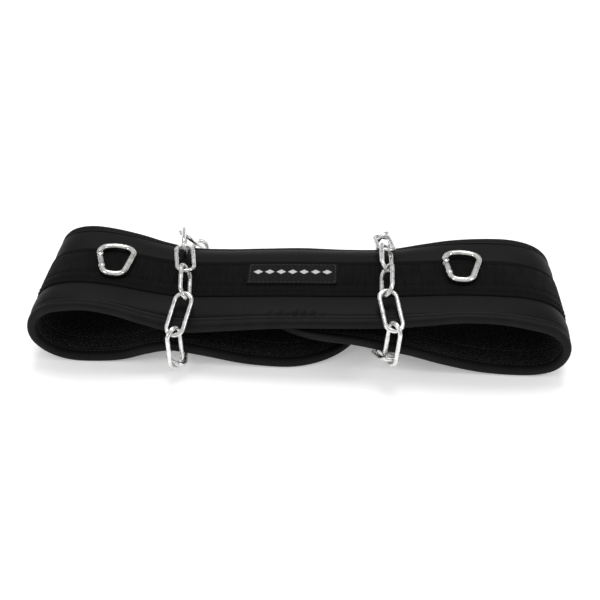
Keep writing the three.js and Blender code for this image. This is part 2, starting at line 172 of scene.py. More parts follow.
# Padded shell: foam 7 to 8 mm thick in smooth coated cloth, one long strap with rounded ends,
# closed to a flattened loop. The foam swells between the webbing's edges and the bound edge.
HALF_WIDTH = 65.0
STIFF_HALF = 25.0
WEBBING_NEAR = -29.5
WEBBING_FAR = 25.5
END_LENGTH = 78.0
FLOOR_RUN = 6.05
SHELL_OUT = 4.0
SHELL_IN = -3.0
# Each row of the profile is x, z of the wall's middle and how much higher its near and far edges
# stand, all in mm, from the buried tail round to the upper tail.
PROFILE = [
    (62, FLOOR_RUN + 2, 0, 0), (36, FLOOR_RUN + 0.7, -1.5, -1.5), (-16, FLOOR_RUN + 0.2, -1.7, -1.7),
    (-51, 9.4, -2.2, -2.2), (-86, 16.6, -1.8, -2.2), (-118, 20.6, -0.4, -0.4), (-142, 16.4, -1.4, -1.8),
    (-164, 9.2, -1.8, -1.8), (-185, FLOOR_RUN, -1.7, -1.7), (-212, FLOOR_RUN, -1.7, -1.7),
    (-231, 11.5, -0.6, 0), (-243, 23, 0, 1), (-246, 36, 0, 2), (-241.5, 49.5, 0.5, 3), (-230, 59, 1, 3),
    (-212, 63, 1.5, 2.2), (-190, 62.8, 3, -0.5), (-165, 59.2, 1.2, -3.5), (-140, 54, -3, -7),
    (-111, 50.4, -7.6, -9.8), (-75, 51.2, -5.8, -11), (-38, 53.2, -3.6, -11), (0, 54.6, -2, -10.4),
    (45, 55.8, -1.8, -12.3), (86, 57.6, -1.2, -12.2), (120, 60, 0.9, -6.6), (150, 61.8, 3.4, -2),
    (182, 62, 2.6, 0.8), (208, 60.6, -0.6, 1.6), (229, 55, -1, 1), (242, 44, -1, 1), (246, 30, -1, 1),
    (241.5, 16.5, -1, 0), (230, 8.8, -1.4, -1), (208, FLOOR_RUN, -1.7, -1.7), (172, 8.4, -2, -2),
    (136, 15.8, -1.4, -2), (104, 24.2, 0, -3), (78, 29, 0.4, -5), (50, 33, 2.4, -8), (22, 35, 3, -8),
    (-14, 36.4, 3, -6), (-42, 36.6, 0, 0),
]
FINE_STEPS = 12


def cubic(a, b, c, d, t):
    """A smooth curve from b to c that leaves a and heads for d."""
    u, v = t * t, t * t * t
    return (
        (2 * v - 3 * u + 1) * b + (v - 2 * u + t) * (c - a) / 2
        + (3 * u - 2 * v) * c + (v - u) * (d - b) / 2
    )


middle = []
for i in range(len(PROFILE) - 1):
    rows = [PROFILE[max(i - 1, 0)], PROFILE[i], PROFILE[i + 1], PROFILE[min(i + 2, len(PROFILE) - 1)]]
    last = 1 if i == len(PROFILE) - 2 else 0
    for k in range(FINE_STEPS + last):
        middle.append([cubic(*(row[c] for row in rows), k / FINE_STEPS) for c in range(4)])
run_at = [0.0]
for before, point in zip(middle, middle[1:]):
    run_at.append(run_at[-1] + math.hypot(point[0] - before[0], point[1] - before[1]))
BELT_LENGTH = run_at[-1]
TOP_RUN = run_at[[row[0] for row in PROFILE].index(0) * FINE_STEPS]


def on_middle(run):
    """x, z and edge lifts of the wall's middle at a running length from the buried tail."""
    low, high = 0, len(run_at) - 1
    while high - low > 1:
        half = (low + high) // 2
        if run_at[half] >= run:
            high = half
        else:
            low = half
    t = (run - run_at[low]) / (run_at[high] - run_at[low])
    return [a + (b - a) * t for a, b in zip(middle[low], middle[high])]


# The wall's slope is taken over this many mm to each side.
TANGENT_REACH = 2.5


def wall_point(run, y, out):
    """A point of the wall in metres: run along the belt, y across it, out from its middle."""
    here = on_middle(run)
    back = on_middle(max(run - TANGENT_REACH, 0))
    ahead = on_middle(min(run + TANGENT_REACH, BELT_LENGTH))
    length = math.hypot(ahead[0] - back[0], ahead[1] - back[1])
    share = max((abs(y) - STIFF_HALF) / (HALF_WIDTH - STIFF_HALF), 0) ** 2
    lift = share * (here[2] if y < 0 else here[3])
    return Vector((
        (here[0] - out * (ahead[1] - back[1]) / length) * MM,
        y * MM,
        (here[1] + out * (ahead[0] - back[0]) / length + lift) * MM,
    ))


STATION_GAP = 4.0
PUCKER_GAP = 1.2
PUCKER_REACH = 42.0
TIP_STEPS = 16


def straight_runs():
    """Running lengths between the rounded ends, set closer where the shell is puckered."""
    runs = []
    run = END_LENGTH + STATION_GAP
    while run < BELT_LENGTH - END_LENGTH - STATION_GAP / 2:
        runs.append(run)
        run += PUCKER_GAP if abs(run - TOP_RUN) < PUCKER_REACH else STATION_GAP
    return runs


def outline_stations(inset):
    """Running length and half width of the belt's outline drawn in by inset, tip to tip. Every
    inset gives the same number of stations, so that rings of different insets can be joined."""
    reach = END_LENGTH - inset
    turn = [0.5 * math.pi * k / TIP_STEPS for k in range(TIP_STEPS + 1)]
    first = [(END_LENGTH - reach * math.cos(a), (HALF_WIDTH - inset) * math.sin(a)) for a in turn]
    straight = [(run, HALF_WIDTH - inset) for run in straight_runs()]
    return first + straight + [(BELT_LENGTH - run, half) for run, half in reversed(first)]


def skin_columns(insets, shares):
    """Across the belt: the rings near the near edge, the field between, the rings near the far edge."""
    near = [(inset, -1.0) for inset in insets[:-1]]
    field = [(insets[-1], share) for share in shares]
    return near + field + [(inset, 1.0) for inset in reversed(insets[:-1])]


def add_skin(name, insets, shares, outer, inner, material):
    """A closed sheet that follows the wall: outer and inner give how far out each point lies."""
    columns = skin_columns(insets, shares)
    lines = {inset: outline_stations(inset) for inset in insets}
    rows = len(lines[insets[0]])
    width = len(columns)
    points, marks, faces = [], [], []
    for rise in (outer, inner):
        for i in range(rows):
            for inset, share in columns:
                run, half = lines[inset][i]
                y = share * half
                points.append(wall_point(run, y, rise(run, y, inset)))
                marks.append((run, y))
    offset = rows * width
    for i in range(rows - 1):
        for k in range(width - 1):
            a = i * width + k
            faces.append((a, a + width, a + width + 1, a + 1))
            faces.append((offset + a, offset + a + 1, offset + a + width + 1, offset + a + width))
        for k in (0, width - 1):
            a, b = i * width + k, (i + 1) * width + k
            faces.append((a, offset + a, offset + b, b) if k == 0 else (a, b, offset + b, offset + a))
    made = add_object(name, points, faces, material)
    return weld(made, marks)


def weld(made, marks):
    """Writes each point's place on the belt, in mm along and across, then joins doubled points."""
    layer = made.data.uv_layers.new(name="along_across")
    for loop in made.data.loops:
        layer.data[loop.index].uv = marks[loop.vertex_index]
    shape = bmesh.new()
    shape.from_mesh(made.data)
    bmesh.ops.remove_doubles(shape, verts=shape.verts, dist=0.02 * MM)
    bmesh.ops.dissolve_degenerate(shape, edges=shape.edges, dist=0.01 * MM)
    bmesh.ops.recalc_face_normals(shape, faces=shape.faces)
    shape.to_mesh(made.data)
    shape.free()
    return made


# The shell's cloth is matte black polyurethane-coated nylon: a fine dull grain, the foam's soft
# lumps showing through it, and a few pulled puckers by the front rim.
FOAM_SWELL = 1.3
TAPE_FLAP = 9.0
UNDER_TAPE = 2.6
UNDER_TAPE_IN = 0.4

shell_cloth, tree = new_material("coated_nylon_black")
where = add_node(tree, "ShaderNodeUVMap", {"uv_map": "along_across"})
# Slow tone drift where the coating has been handled.
drift = add_node(
    tree, "ShaderNodeTexNoise", {"Scale": 0.022, "Detail": 3.0, "Roughness": 0.5},
    {"Vector": where.outputs["UV"]},
)
tone = add_node(tree, "ShaderNodeValToRGB", links={"Fac": drift.outputs["Fac"]})
tone.color_ramp.elements[0].position = 0.32
tone.color_ramp.elements[0].color = linear("#0A0A0B")
tone.color_ramp.elements[1].position = 0.72
tone.color_ramp.elements[1].color = linear("#0F0F10")
# Fine grain of the coating, about half a millimetre, over soft creases a few centimetres apart.
grain = add_node(
    tree, "ShaderNodeTexNoise", {"Scale": 1.8, "Detail": 2.0, "Roughness": 0.6},
    {"Vector": where.outputs["UV"]},
)
crease = add_node(
    tree, "ShaderNodeTexNoise", {"Scale": 0.045, "Detail": 2.0, "Distortion": 0.6},
    {"Vector": where.outputs["UV"]},
)
crease_bump = add_node(
    tree, "ShaderNodeBump", {"Strength": 0.35, "Distance": 1.4 * MM}, {"Height": crease.outputs["Fac"]}
)
grain_bump = add_node(
    tree, "ShaderNodeBump", {"Strength": 0.3, "Distance": 0.12 * MM},
    {"Height": grain.outputs["Fac"], "Normal": crease_bump.outputs["Normal"]},
)
shader = add_node(
    tree, "ShaderNodeBsdfPrincipled",
    {"Roughness": 0.55, "IOR": 1.48, "Specular IOR Level": 0.11},
    {"Base Color": tone.outputs["Color"], "Normal": grain_bump.outputs["Normal"]},
)
close_material(tree, shader)

# Short pulled puckers along the near rim of the upper layer. Each row is how far along from the
# middle it sits, how long it runs across the belt and how deep it is, in mm.
PUCKERS = [
    (-27, 5, 1.2), (-17, 5, 1.8), (-9, 4, 1.4), (-2, 6, 2.6), (5, 5, 2.4), (13, 5, 2.0), (23, 4, 1.0),
]
PUCKER_WIDTH = 2.4
PUCKER_SLANT = 0.15
PUCKER_Y = -56.0
PUCKER_END_Y = -42.0


def pucker_depth(run, y):
    """How far the puckers pull the cloth in at a place on the belt."""
    if y > PUCKER_END_Y or abs(run - TOP_RUN) > PUCKER_REACH:
        return 0.0
    depth = 0.0
    off = y - PUCKER_Y
    for x, length, deep in PUCKERS:
        along = (run - TOP_RUN - x - PUCKER_SLANT * off) / PUCKER_WIDTH
        across = off / length
        depth += deep * math.exp(-along * along) * math.exp(-across * across)
    return depth


NIP_DEPTH = 0.9
NIP_WIDTH = 1.3


def shell_out(run, y, inset):
    """The foam stands proud between the webbing and the binding, and is nipped beside the tape."""
    if inset < TAPE_FLAP - 0.5:
        return UNDER_TAPE
    end_fade = min(min(run, BELT_LENGTH - run) / END_LENGTH, 1.0)
    webbing_edge = -WEBBING_NEAR if y < 0 else WEBBING_FAR
    field = HALF_WIDTH - TAPE_FLAP - webbing_edge
    reach = min(max((abs(y) - webbing_edge) / field, 0.0), 1.0)
    swell = FOAM_SWELL * math.sin(math.pi * reach) ** 0.7
    nip = NIP_DEPTH * math.exp(-((inset - TAPE_FLAP) / NIP_WIDTH) ** 2)
    return SHELL_OUT + swell * end_fade - nip - pucker_depth(run, y)


def shell_in(run, y, inset):
    """The inner face draws in under the tape."""
    return SHELL_IN if inset > TAPE_FLAP else SHELL_IN + UNDER_TAPE_IN


SHELL_INSETS = [1.6, 8.3, 9.4, 10.6, 12.5]
SHELL_SHARES = [math.sin(0.5 * math.pi * k / 20) for k in range(-20, 21)]
shell = add_skin("padded_shell", SHELL_INSETS, SHELL_SHARES, shell_out, shell_in, shell_cloth)
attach(shell, "belt")
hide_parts("belt_body")


# Knit lining: a soft black warp-knit laid on the inside of the wall and held by the tape's inner
# flap. It shows in the opening and on the two tails, where one seam runs 25 mm inside the edge.
LINING_OUT = -3.3
LINING_IN = -4.4
LINING_SEAM = 25.0
SEAM_WIDTH = 1.1
SEAM_DEPTH = 0.7
HOLE_ALONG = 3.0
HOLE_ACROSS = 2.0

knit, tree = new_material("warp_knit_black")
where = add_node(tree, "ShaderNodeUVMap", {"uv_map": "along_across"})
# The knit is full of small oval holes, which give it a dotted look. The holes are painted near black as
# shade, and the thread between them pale grey as a painted highlight on the black knit. They are drawn
# coarser than such a knit's real ones, so that they show. The 45 degree turn sets every second row off by
# half.
cells = add_node(
    tree, "ShaderNodeMapping",
    {"Scale": (1 / HOLE_ALONG, 1 / HOLE_ACROSS, 1.0), "Rotation": (0.0, 0.0, math.pi / 4)},
    {"Vector": where.outputs["UV"]},
)
holes = add_node(
    tree, "ShaderNodeTexVoronoi", {"Scale": 1.0, "Randomness": 0.25}, {"Vector": cells.outputs["Vector"]}
)
# Painted shade in the holes (#020202) and painted highlight on the thread between them (#3A3A3B).
tone = add_node(tree, "ShaderNodeValToRGB", links={"Fac": holes.outputs["Distance"]})
tone.color_ramp.elements[0].position = 0.36
tone.color_ramp.elements[0].color = linear("#020202")
tone.color_ramp.elements[1].position = 0.64
tone.color_ramp.elements[1].color = linear("#3A3A3B")
pile = add_node(
    tree, "ShaderNodeBump", {"Strength": 0.6, "Distance": 0.4 * MM}, {"Height": holes.outputs["Distance"]}
)
shader = add_node(
    tree, "ShaderNodeBsdfPrincipled", {"Roughness": 0.92, "IOR": 1.45, "Specular IOR Level": 0.1},
    {"Base Color": tone.outputs["Color"], "Normal": pile.outputs["Normal"]},
)
close_material(tree, shader)


def lining_in(run, y, inset):
    """The lining's inner face, drawn in along its seam."""
    return LINING_IN + SEAM_DEPTH * math.exp(-((inset - LINING_SEAM) / SEAM_WIDTH) ** 2)


LINING_INSETS = [TAPE_FLAP - 0.6, 12, 20, 23.6, 24.4, LINING_SEAM, 25.6, 26.4, 29]
LINING_SHARES = [k / 8 for k in range(-8, 9)]
lining = add_skin(
    "knit_lining", LINING_INSETS, LINING_SHARES, lambda run, y, inset: LINING_OUT, lining_in, knit
)
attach(lining, "belt")
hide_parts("lining")


# Edge binding: one grosgrain-faced tape folded round the shell and the lining, all the way round
# both long edges and both rounded ends, and sewn through with one row of thread.
TAPE_OUT = 4.25
TAPE_IN = -4.4
STITCH_INSET = 6.6
TAPE_PUCKER = 0.4
TAPE_RIB = 0.9
# A wave texture of scale 1 repeats every 0.314 units.
WAVE_REPEAT = 0.314

tape_cloth, tree = new_material("polyester_binding_tape_black")
where = add_node(tree, "ShaderNodeUVMap", {"uv_map": "along_across"})
# Fine ribs across the tape.
ribs = add_node(
    tree, "ShaderNodeTexWave",
    {"wave_profile": "SIN", "bands_direction": "X", "Scale": WAVE_REPEAT / TAPE_RIB},
    {"Vector": where.outputs["UV"]},
)
drift = add_node(tree, "ShaderNodeTexNoise", {"Scale": 0.05, "Detail": 2.0}, {"Vector": where.outputs["UV"]})
tone = add_node(tree, "ShaderNodeValToRGB", links={"Fac": drift.outputs["Fac"]})
tone.color_ramp.elements[0].position = 0.3
tone.color_ramp.elements[0].color = linear("#101011")
tone.color_ramp.elements[1].position = 0.7
tone.color_ramp.elements[1].color = linear("#161617")
# The selvedge, the last millimetre of the flap, carries a painted highlight: a lighter line where its raised
# edge would catch the light.
parts = add_node(tree, "ShaderNodeSeparateXYZ", links={"Vector": where.outputs["UV"]})
selvedge = add_node(
    tree, "ShaderNodeMapRange", {"From Min": 7.9, "From Max": 8.4}, {"Value": parts.outputs["Y"]}
)
selvedge_highlight = add_node(
    tree, "ShaderNodeMix", {"data_type": "RGBA", 7: linear("#262627")},
    {0: selvedge.outputs["Result"], 6: tone.outputs["Color"]},
)
rib_bump = add_node(
    tree, "ShaderNodeBump", {"Strength": 0.35, "Distance": 0.15 * MM}, {"Height": ribs.outputs["Fac"]}
)
shader = add_node(
    tree, "ShaderNodeBsdfPrincipled", {"Roughness": 0.6, "IOR": 1.48, "Specular IOR Level": 0.12},
    {"Base Color": selvedge_highlight.outputs[2], "Normal": rib_bump.outputs["Normal"]},
)
close_material(tree, shader)

# The tape's cross-section, from the outer flap's raw side round the edge to the inner flap's, as
# inset from the belt's edge and how far out it lies.
TAPE_SECTION = [
    (9.0, 3.0), (9.1, 4.1), (8.7, TAPE_OUT + 0.25), (8.0, TAPE_OUT + 0.2), (STITCH_INSET, TAPE_OUT - 0.5),
    (5.8, TAPE_OUT), (4.2, TAPE_OUT + 0.15), (2.6, TAPE_OUT + 0.05), (1.4, TAPE_OUT - 0.35), (0.55, 3.0),
    (0.12, 1.8), (0.0, 0.4), (0.0, -1.4), (0.2, -2.6), (0.8, -3.6), (1.8, -4.2), (4.0, TAPE_IN),
    (6.6, -4.1), (8.6, TAPE_IN), (9.0, -4.1), (9.0, -3.3), (5.0, -3.2), (1.3, -2.4), (1.2, 2.0), (2.0, 3.0),
]


def outline_ring(inset):
    """The belt's outline drawn in by inset, as one closed line of (run, y)."""
    stations = outline_stations(inset)
    near = [(run, -half) for run, half in stations]
    return near + [(run, half) for run, half in reversed(stations[1:-1])]


def add_tape(name, section, material):
    """Folded tape that carries its section once round the belt's outline."""
    points, marks, faces = [], [], []
    rings = [outline_ring(inset) for inset, out in section]
    size, sides = len(rings[0]), len(section)
    around = 0.0
    for i in range(size):
        here, back = rings[0][i], rings[0][i - 1]
        around += math.hypot(here[0] - back[0], here[1] - back[1]) if i else 0.0
        for k, (inset, out) in enumerate(section):
            run, y = rings[k][i]
            pulled = TAPE_PUCKER * pucker_depth(run, y) if out > SHELL_OUT - 0.5 else 0.0
            points.append(wall_point(run, y, out - pulled))
            marks.append((around, inset))
    for i in range(size):
        j = (i + 1) % size
        for k in range(sides):
            m = (k + 1) % sides
            faces.append((i * sides + k, i * sides + m, j * sides + m, j * sides + k))
    made = add_object(name, points, faces, material)
    return weld(made, marks)


binding = add_tape("edge_tape", TAPE_SECTION, tape_cloth)
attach(binding, "belt")
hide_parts("edge_binding")


# Webbing: 55 mm of flat black polyester webbing sewn along the middle of the outer face. It has fine
# ribs across it and a close-woven band along each edge, and three rows of thread hold it down.
WEBBING_IN = 4.3
WEBBING_OUT = 6.05
WEBBING_END = 84.0
WEBBING_STEP = 3.0
WEBBING_RIB = 1.5
NEAR_EDGE_SEAM = -22.4
NEAR_BAND = -13.6
FAR_BAND = 18.8

webbing_cloth, tree = new_material("polyester_webbing_black")
where = add_node(tree, "ShaderNodeUVMap", {"uv_map": "along_across"})
parts = add_node(tree, "ShaderNodeSeparateXYZ", links={"Vector": where.outputs["UV"]})
# Ribs across the webbing, bent a little so that they look woven.
ribs = add_node(
    tree, "ShaderNodeTexWave",
    {
        "wave_profile": "SIN", "bands_direction": "X", "Scale": WAVE_REPEAT / WEBBING_RIB,
        "Distortion": 0.6, "Detail Scale": 0.4,
    },
    {"Vector": where.outputs["UV"]},
)
# The ribs fade out on the two woven bands along the edges, which are closer and darker.
near_fade = add_node(
    tree, "ShaderNodeMapRange", {"From Min": NEAR_BAND - 0.8, "From Max": NEAR_BAND + 0.6, "To Min": 0.3},
    {"Value": parts.outputs["Y"]},
)
far_fade = add_node(
    tree, "ShaderNodeMapRange", {"From Min": FAR_BAND + 0.6, "From Max": FAR_BAND - 0.6},
    {"Value": parts.outputs["Y"]},
)
ribbed = add_node(
    tree, "ShaderNodeMath", {"operation": "MULTIPLY"},
    {0: near_fade.outputs["Result"], 1: far_fade.outputs["Result"]},
)
drift = add_node(tree, "ShaderNodeTexNoise", {"Scale": 0.03, "Detail": 3.0}, {"Vector": where.outputs["UV"]})
tone = add_node(tree, "ShaderNodeValToRGB", links={"Fac": drift.outputs["Fac"]})
tone.color_ramp.elements[0].position = 0.3
tone.color_ramp.elements[0].color = linear("#131313")
tone.color_ramp.elements[1].position = 0.75
tone.color_ramp.elements[1].color = linear("#1B1B1B")
rib_depth = add_node(
    tree, "ShaderNodeMapRange", {"To Min": 0.2, "To Max": 1.0}, {"Value": ribbed.outputs["Value"]}
)
rib_bump = add_node(
    tree, "ShaderNodeBump", {"Distance": 0.45 * MM},
    {"Height": ribs.outputs["Fac"], "Strength": rib_depth.outputs["Result"]},
)
# Painted shade darkens the grooves between ribs, and a painted highlight makes single ribs lighter than
# others, as if they catch the light more.
streaks = add_node(tree, "ShaderNodeMapping", {"Scale": (0.42, 0.03, 1.0)}, {"Vector": where.outputs["UV"]})
streak = add_node(
    tree, "ShaderNodeTexNoise", {"Scale": 1.0, "Detail": 1.0}, {"Vector": streaks.outputs["Vector"]}
)
streak_share = add_node(
    tree, "ShaderNodeMapRange", {"From Min": 0.35, "From Max": 0.65, "To Min": 0.3, "To Max": 1.0},
    {"Value": streak.outputs["Fac"]},
)
groove_shade = add_node(
    tree, "ShaderNodeMapRange", {"To Min": 0.45, "To Max": 1.0}, {"Value": ribs.outputs["Fac"]}
)
rib_light = add_node(
    tree, "ShaderNodeMath", {"operation": "MULTIPLY"},
    {0: streak_share.outputs["Result"], 1: groove_shade.outputs["Result"]},
)
rib_share = add_node(
    tree, "ShaderNodeMath", {"operation": "MULTIPLY"},
    {0: rib_light.outputs["Value"], 1: rib_depth.outputs["Result"]},
)
# The mix runs to #080808: the close-woven bands' own darker colour, and painted shade in the grooves and on
# the less lit ribs.
band_tone_and_rib_shade = add_node(
    tree, "ShaderNodeMix", {"data_type": "RGBA", 6: linear("#080808")},
    {0: rib_share.outputs["Value"], 7: tone.outputs["Color"]},
)
shader = add_node(
    tree, "ShaderNodeBsdfPrincipled", {"Roughness": 0.75, "IOR": 1.48, "Specular IOR Level": 0.07},
    {"Base Color": band_tone_and_rib_shade.outputs[2], "Normal": rib_bump.outputs["Normal"]},
)
close_material(tree, shader)

# The webbing's cross-section from its near edge over the top to its far edge and back under: across
# the belt and how far out it lies. Thread pulls a channel along each band's inner side, and along
# the middle of the near band, which is the wider one.
WEBBING_SECTION = [
    (WEBBING_NEAR, 4.6), (WEBBING_NEAR + 0.4, 5.05), (WEBBING_NEAR + 1.4, 5.4),
    (NEAR_EDGE_SEAM - 0.9, 5.8), (NEAR_EDGE_SEAM, 5.5),
    (NEAR_EDGE_SEAM + 0.9, 5.9), (NEAR_BAND - 1.0, 5.95), (NEAR_BAND - 0.3, 5.35), (NEAR_BAND + 0.5, 5.4),
    (NEAR_BAND + 1.2, 6.0), (-6.0, WEBBING_OUT), (6.0, WEBBING_OUT), (FAR_BAND - 1.2, 6.0),
    (FAR_BAND - 0.5, 5.4), (FAR_BAND + 0.3, 5.35), (FAR_BAND + 1.0, 5.9), (WEBBING_FAR - 1.2, 5.6),
    (WEBBING_FAR - 0.4, 5.2), (WEBBING_FAR, 4.6), (WEBBING_FAR - 0.3, WEBBING_IN), (0.0, WEBBING_IN),
    (WEBBING_NEAR + 0.3, WEBBING_IN),
]


def add_strip(name, runs, section, material):
    """A strip that lies on the wall, with its section given at every running length."""
    sides = len(section(runs[0]))
    points, marks, faces = [], [], []
    for run in runs:
        for y, out in section(run):
            points.append(wall_point(run, y, out))
            marks.append((run, y))
    for i in range(len(runs) - 1):
        for k in range(sides):
            m = (k + 1) % sides
            faces.append((i * sides + k, i * sides + m, (i + 1) * sides + m, (i + 1) * sides + k))
    last = (len(runs) - 1) * sides
    faces.append(tuple(range(sides)))
    faces.append(tuple(last + k for k in reversed(range(sides))))
    return weld(add_object(name, points, faces, material), marks)


webbing_length = BELT_LENGTH - 2 * WEBBING_END
webbing_count = round(webbing_length / WEBBING_STEP)
webbing_runs = [WEBBING_END + webbing_length * k / webbing_count for k in range(webbing_count + 1)]
webbing = add_strip("webbing", webbing_runs, lambda run: WEBBING_SECTION, webbing_cloth)
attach(webbing, "belt")
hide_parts("webbing_strap")


# Sewing thread: bonded black nylon in lock-stitch, lying in the channels of the tape, the webbing and
# the lining. Each stitch is a short bead that dips into the cloth at both ends.
STITCH_LENGTH = 3.2
STITCH_GAP = 0.9
THREAD_HALF = 0.32
# Along one stitch: share of its length, share of its thickness and height over the cloth in mm.
STITCH_STEPS = [(0.0, 0.35, -0.15), (0.25, 1.0, 0.2), (0.75, 1.0, 0.2), (1.0, 0.35, -0.15)]

# Bonding leaves the thread smooth, with a faint shine.
thread, tree = new_material("bonded_nylon_thread_black")
shader = add_node(
    tree, "ShaderNodeBsdfPrincipled",
    {"Base Color": linear("#0E0E0F"), "Roughness": 0.5, "IOR": 1.53, "Specular IOR Level": 0.15},
)
close_material(tree, shader)

# The thread from the bobbin shows inside the loop, a little greyer.
bobbin_thread, tree = new_material("bobbin_thread_grey")
shader = add_node(
    tree, "ShaderNodeBsdfPrincipled",
    {"Base Color": linear("#343435"), "Roughness": 0.5, "IOR": 1.53, "Specular IOR Level": 0.3},
)
close_material(tree, shader)


def add_stitches(name, line, rise, material, face=1):
    """Stitches along a line of (run, y) marks, on the wall's outer face (1) or its inner one (-1)."""
    lengths = [0.0]
    for before, point in zip(line, line[1:]):
        lengths.append(lengths[-1] + math.dist(before, point))
    points, faces = [], []
    count = int(lengths[-1] / (STITCH_LENGTH + STITCH_GAP))
    pitch = lengths[-1] / count
    span = 0

    def mark_at(distance):
        nonlocal span
        while span < len(lengths) - 2 and lengths[span + 1] < distance:
            span += 1
        t = (distance - lengths[span]) / (lengths[span + 1] - lengths[span])
        return [a + (b - a) * t for a, b in zip(line[span], line[span + 1])]

    for n in range(count):
        start = n * pitch + STITCH_GAP / 2
        rings = []
        for share, size, height in STITCH_STEPS:
            run, y = mark_at(start + share * (pitch - STITCH_GAP))
            ahead_run, ahead_y = line[min(span + 1, len(line) - 1)]
            back_run, back_y = line[span]
            length = math.hypot(ahead_run - back_run, ahead_y - back_y)
            side = (-(ahead_y - back_y) / length, (ahead_run - back_run) / length)
            out = rise(run, y) + face * height
            half = THREAD_HALF * size
            rings.append([
                wall_point(run + side[0] * half, y + side[1] * half, out),
                wall_point(run, y, out + half),
                wall_point(run - side[0] * half, y - side[1] * half, out),
                wall_point(run, y, out - half),
            ])
        base = len(points)
        for ring in rings:
            points.extend(ring)
        for i in range(len(rings) - 1):
            for k in range(4):
                m = (k + 1) % 4
                faces.append((base + i * 4 + k, base + i * 4 + m, base + i * 4 + 4 + m, base + i * 4 + 4 + k))
        faces.append((base + 3, base + 2, base + 1, base))
        faces.append((base + 12, base + 13, base + 14, base + 15))
    made = add_object(name, points, faces, material)
    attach(made, "belt")
    return made


tape_line = outline_ring(STITCH_INSET)
tape_line.append(tape_line[0])
add_stitches("tape_stitches", tape_line, lambda run, y: TAPE_OUT - 0.25, thread)
add_stitches("tape_inner_stitches", tape_line, lambda run, y: TAPE_IN + 0.1, bobbin_thread, -1)
lining_line = outline_ring(LINING_SEAM)
lining_line.append(lining_line[0])
add_stitches("lining_stitches", lining_line, lambda run, y: LINING_IN + 0.5, bobbin_thread, -1)
for name, y, out in (
    ("near_edge_stitches", NEAR_EDGE_SEAM, 5.75), ("near_band_stitches", NEAR_BAND, 5.45),
    ("far_band_stitches", FAR_BAND, 5.45),
):
    seam_line = [(run, y) for run in webbing_runs]
    add_stitches(name, seam_line, lambda run, y: out, thread)


# Label: a folded patch woven of fine yarn in damask, sewn on near the middle of the upper layer. A
# plain row of diamonds is woven in a paler yarn along its far half.
LABEL_LENGTH = 86.0
LABEL_WIDTH = 31.0
LABEL_SHIFT = 2.4
LABEL_THICK = 0.8
LABEL_IN = 6.5
LABEL_MIDDLE = TOP_RUN - 7.0
LABEL_SIDE_SEAM = 1.7
LABEL_END_SEAM = 2.2
DIAMOND_PITCH = 11.0
DIAMOND_LONG = 4.6
DIAMOND_TALL = 3.6
MARK_LENGTH = 76.0
MARK_LIFT = 5.0
WEFT_PITCH = 0.5

damask, tree = new_material("damask_label_black")
where = add_node(tree, "ShaderNodeUVMap", {"uv_map": "along_across"})
parts = add_node(tree, "ShaderNodeSeparateXYZ", links={"Vector": where.outputs["UV"]})
# The row repeats one diamond, which holds where |along| / long + |across| / tall < 1.
from_middle = add_node(
    tree, "ShaderNodeMath", {"operation": "SUBTRACT", 1: LABEL_MIDDLE}, {0: parts.outputs["X"]}
)
repeat = add_node(
    tree, "ShaderNodeMath", {"operation": "PINGPONG", 1: DIAMOND_PITCH / 2},
    {0: from_middle.outputs["Value"]},
)
along = add_node(
    tree, "ShaderNodeMath", {"operation": "DIVIDE", 1: DIAMOND_LONG}, {0: repeat.outputs["Value"]}
)
lifted = add_node(tree, "ShaderNodeMath", {"operation": "SUBTRACT", 1: MARK_LIFT}, {0: parts.outputs["Y"]})
height = add_node(tree, "ShaderNodeMath", {"operation": "ABSOLUTE"}, {0: lifted.outputs["Value"]})
across = add_node(
    tree, "ShaderNodeMath", {"operation": "DIVIDE", 1: DIAMOND_TALL}, {0: height.outputs["Value"]}
)
total = add_node(
    tree, "ShaderNodeMath", {"operation": "ADD"}, {0: along.outputs["Value"], 1: across.outputs["Value"]}
)
inside = add_node(tree, "ShaderNodeMath", {"operation": "LESS_THAN", 1: 1.0}, {0: total.outputs["Value"]})
reach = add_node(tree, "ShaderNodeMath", {"operation": "ABSOLUTE"}, {0: from_middle.outputs["Value"]})
within = add_node(
    tree, "ShaderNodeMath", {"operation": "LESS_THAN", 1: MARK_LENGTH / 2}, {0: reach.outputs["Value"]}
)
mark = add_node(
    tree, "ShaderNodeMath", {"operation": "MULTIPLY"},
    {0: inside.outputs["Value"], 1: within.outputs["Value"]},
)
# The ground is mottled where the black weft floats over the warp.
floats = add_node(
    tree, "ShaderNodeTexNoise", {"Scale": 0.7, "Detail": 3.0, "Roughness": 0.7},
    {"Vector": where.outputs["UV"]},
)
ground = add_node(tree, "ShaderNodeValToRGB", links={"Fac": floats.outputs["Fac"]})
ground.color_ramp.elements[0].position = 0.42
ground.color_ramp.elements[0].color = linear("#060607")
ground.color_ramp.elements[1].position = 0.68
ground.color_ramp.elements[1].color = linear("#2C2C2D")
tone = add_node(
    tree, "ShaderNodeMix", {"data_type": "RGBA", 7: linear("#C4C4C1")},
    {0: mark.outputs["Value"], 6: ground.outputs["Color"]},
)
# Weft of the damask: fine lines along the label.
weft = add_node(
    tree, "ShaderNodeTexWave",
    {"wave_profile": "SIN", "bands_direction": "Y", "Scale": WAVE_REPEAT / WEFT_PITCH},
    {"Vector": where.outputs["UV"]},
)
weft_bump = add_node(
    tree, "ShaderNodeBump", {"Strength": 0.3, "Distance": 0.1 * MM}, {"Height": weft.outputs["Fac"]}
)
shader = add_node(
    tree, "ShaderNodeBsdfPrincipled", {"Roughness": 0.6, "IOR": 1.5, "Specular IOR Level": 0.05},
    {"Base Color": tone.outputs[2], "Normal": weft_bump.outputs["Normal"]},
)
close_material(tree, shader)


